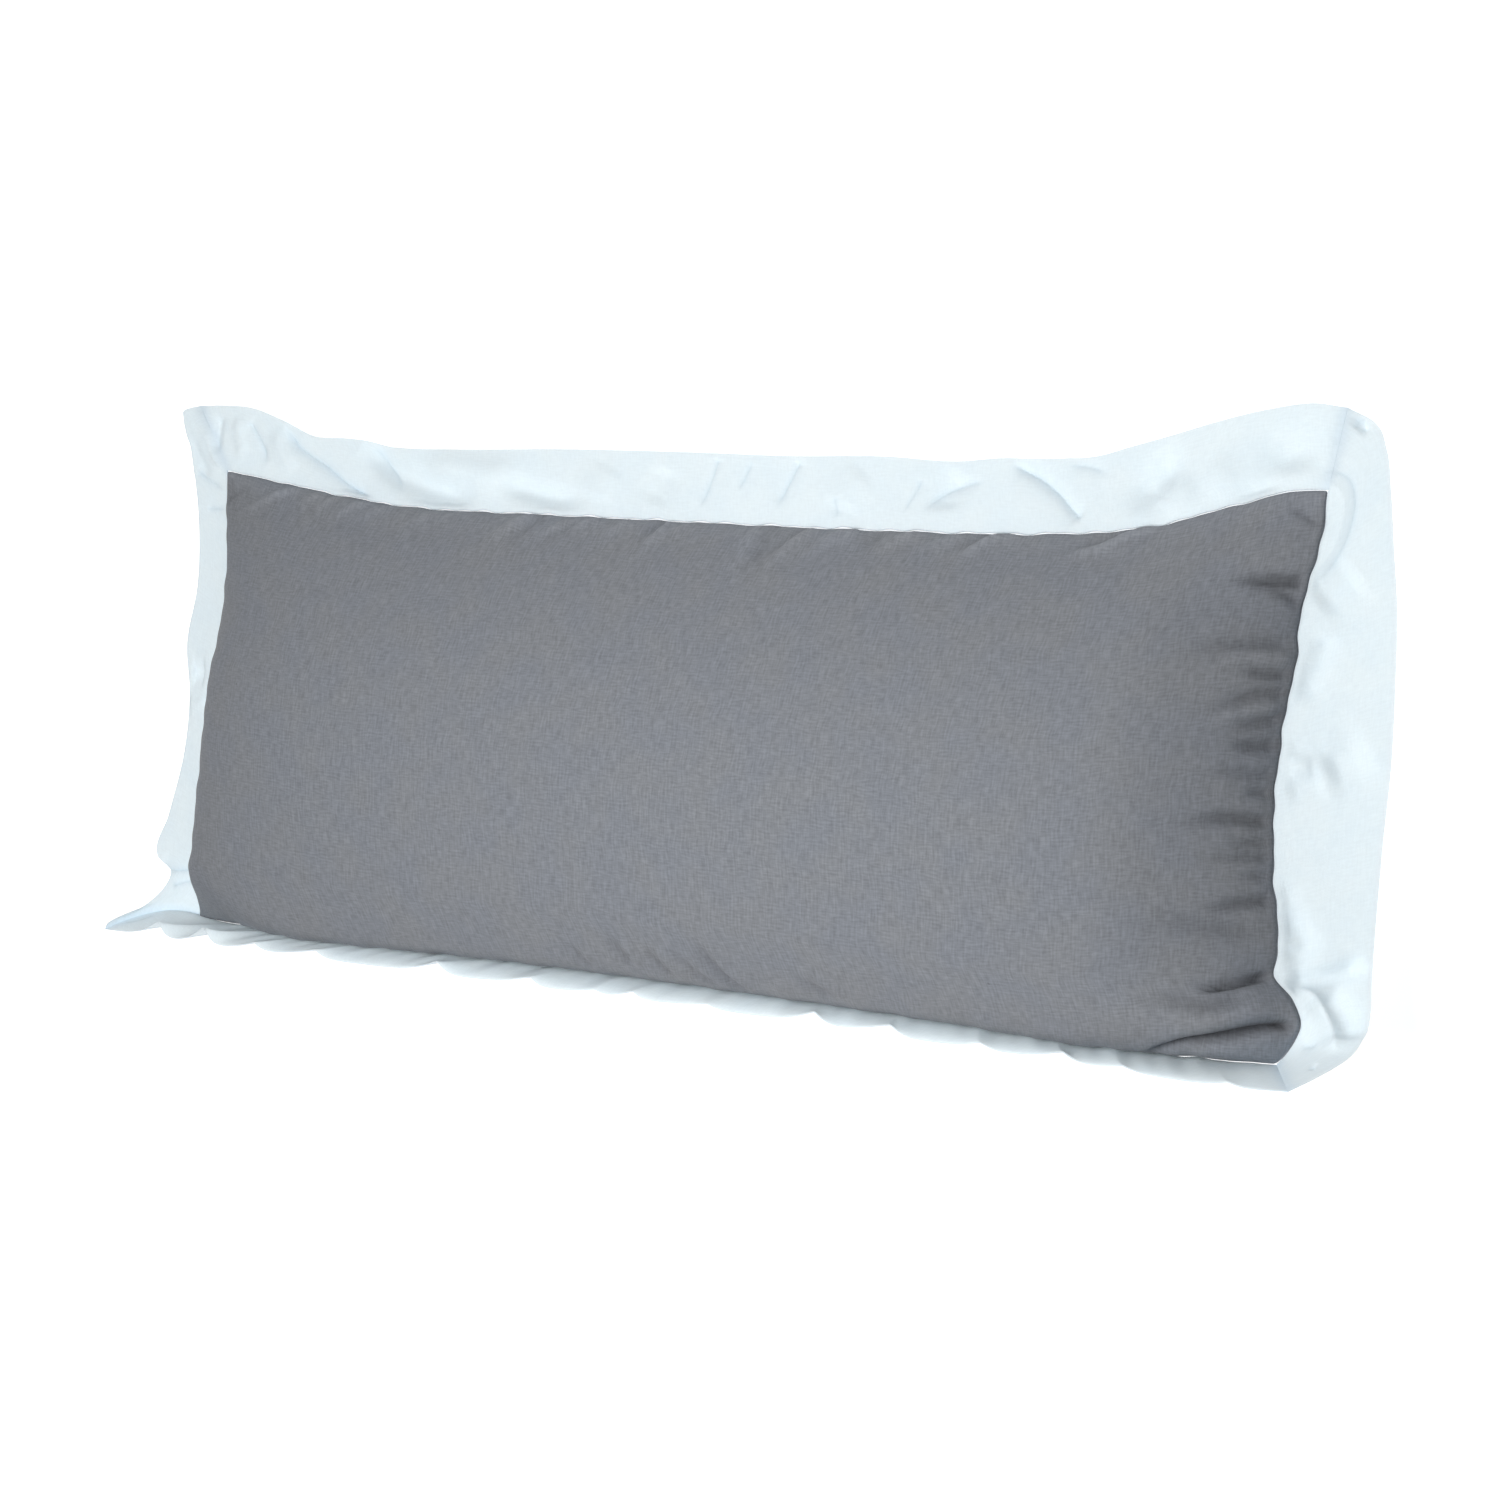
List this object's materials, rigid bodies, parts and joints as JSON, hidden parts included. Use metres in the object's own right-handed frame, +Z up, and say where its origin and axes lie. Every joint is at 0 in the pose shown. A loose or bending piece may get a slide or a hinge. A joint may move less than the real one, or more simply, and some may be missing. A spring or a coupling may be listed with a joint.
{
  "type": "lumbar pillow",
  "caption": "Long lumbar pillow lying on its back: a filled grey cotton body with a flat white flange, mitred at the corners, sewn round its edge.",
  "frame": {"origin": "centre of the pillow's box on the surface that it lies on", "axes": "+X along the pillow towards its right end, +Y towards its upper side, +Z up out of its face"},
  "size_m": [1.0134, 0.4174, 0.1506],
  "materials": {
    "grey_cotton": "matte plain weave",
    "white_cotton": "matte plain weave"
  },
  "bodies": {
    "root": {"cushion": "grey_cotton", "flange_lower": "white_cotton", "flange_right": "white_cotton", "flange_upper": "white_cotton", "flange_left": "white_cotton"}
  },
  "joints": []
}
